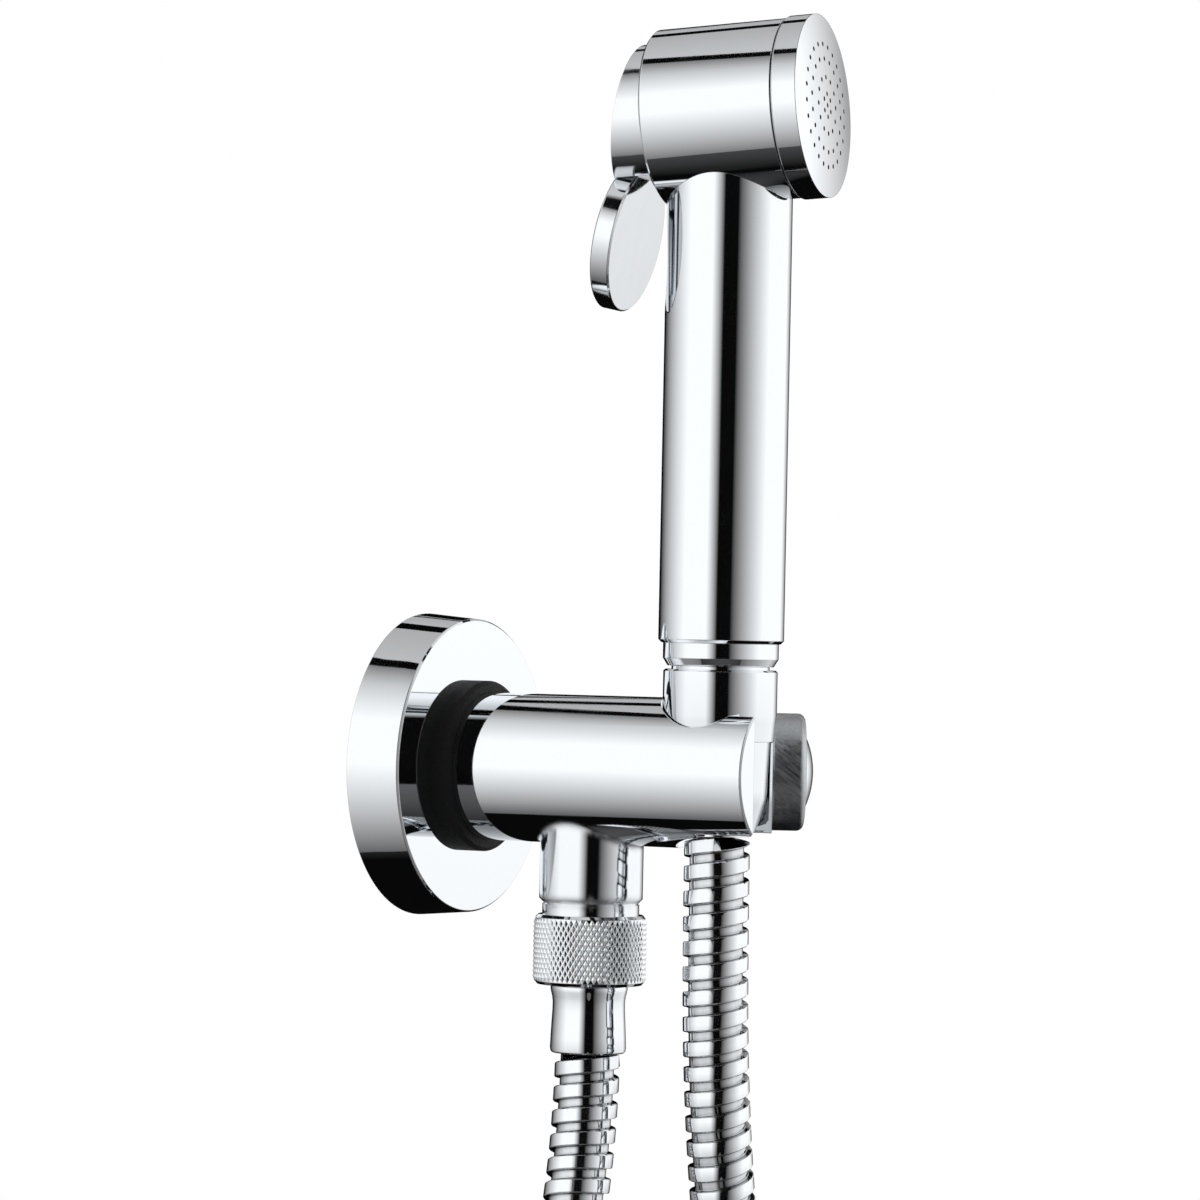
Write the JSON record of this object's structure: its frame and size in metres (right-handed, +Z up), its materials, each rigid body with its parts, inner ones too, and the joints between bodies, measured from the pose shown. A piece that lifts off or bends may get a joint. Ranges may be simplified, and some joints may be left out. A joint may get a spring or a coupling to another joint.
{
  "type": "handheld bidet shower",
  "caption": "Handheld bidet shower: wall outlet arm with stop valve knob and cradle, spiral metal hose, and a spray handset with a round head and thumb lever.",
  "frame": {"origin": "centre of the flange in the plane of the wall, on the inlet's axis", "axes": "+X out of the wall along the arm, +Z up along the handset"},
  "size_m": [0.1067, 0.166, 0.5052],
  "materials": {
    "chrome": "bright chrome plate on brass",
    "satin": "satin brushed",
    "brass": "turned brass",
    "rubber": "matt black rubber",
    "ceramic": "lapped alumina ceramic",
    "steel": "stainless steel",
    "hose_steel": "polished stainless steel strip",
    "strap": "woven black hook strap"
  },
  "bodies": {
    "root": {"wall_flange": "chrome", "flange_ring": "rubber", "valve_body": "chrome", "seat_seal": "rubber", "fixed_disc": "ceramic", "bonnet": "chrome", "bonnet_seal": "rubber", "hose_nut": "chrome", "nut_washer": "rubber", "hose_nipple": "chrome", "hose_ferrule": "chrome", "hose_drop": "hose_steel", "hose_coil": "hose_steel", "hose_rise": "hose_steel", "hose_ties": "strap", "swivel_tail": "chrome"},
    "knob": {"valve_knob": "satin", "knob_screw": "steel", "knob_cap": "chrome", "valve_spindle": "brass", "spindle_ring": "rubber", "moving_disc": "ceramic"},
    "handset": {"cone_nut": "chrome", "tail_washer": "rubber", "handle_tail": "chrome", "tail_ring": "rubber", "handset_body": "chrome", "valve_seat": "brass", "seat_ring": "rubber", "spray_cap": "chrome", "spray_seal": "rubber", "stem_gland": "brass", "gland_ring": "rubber", "hinge_pin": "steel", "return_spring": "steel"},
    "trigger": {"trigger_lever": "chrome"},
    "stem": {"valve_stem": "steel", "stem_washer": "rubber", "stem_nut": "chrome"}
  },
  "joints": [
    {"name": "knob_turn", "type": "hinge", "parent": "root", "child": "knob", "pos_m": [0.06796, 0.03, 0], "axis": [0.866, 0.5, 0], "range_deg": [0, 90]},
    {"name": "handset_swivel", "type": "hinge", "parent": "root", "child": "handset", "pos_m": [0.0715, 0, 0], "axis": [0, 0, 1], "continuous": true},
    {"name": "trigger_press", "type": "hinge", "parent": "handset", "child": "trigger", "pos_m": [0.06035, -0.00185, 0.12518], "axis": [0.1633, -0.9866, 0], "range_deg": [0, 12], "stiffness_Nm_per_rad": 0.4, "springref_deg": -6.88},
    {"name": "stem_pull", "type": "slide", "parent": "handset", "child": "stem", "axis": [-0.9842, -0.1629, -0.0698], "range_m": [0, 0.00262], "deforming": ["return_spring"]}
  ],
  "couplings": [
    {"joint": "trigger_press", "follows": "stem_pull", "rad_per_m": 80}
  ]
}
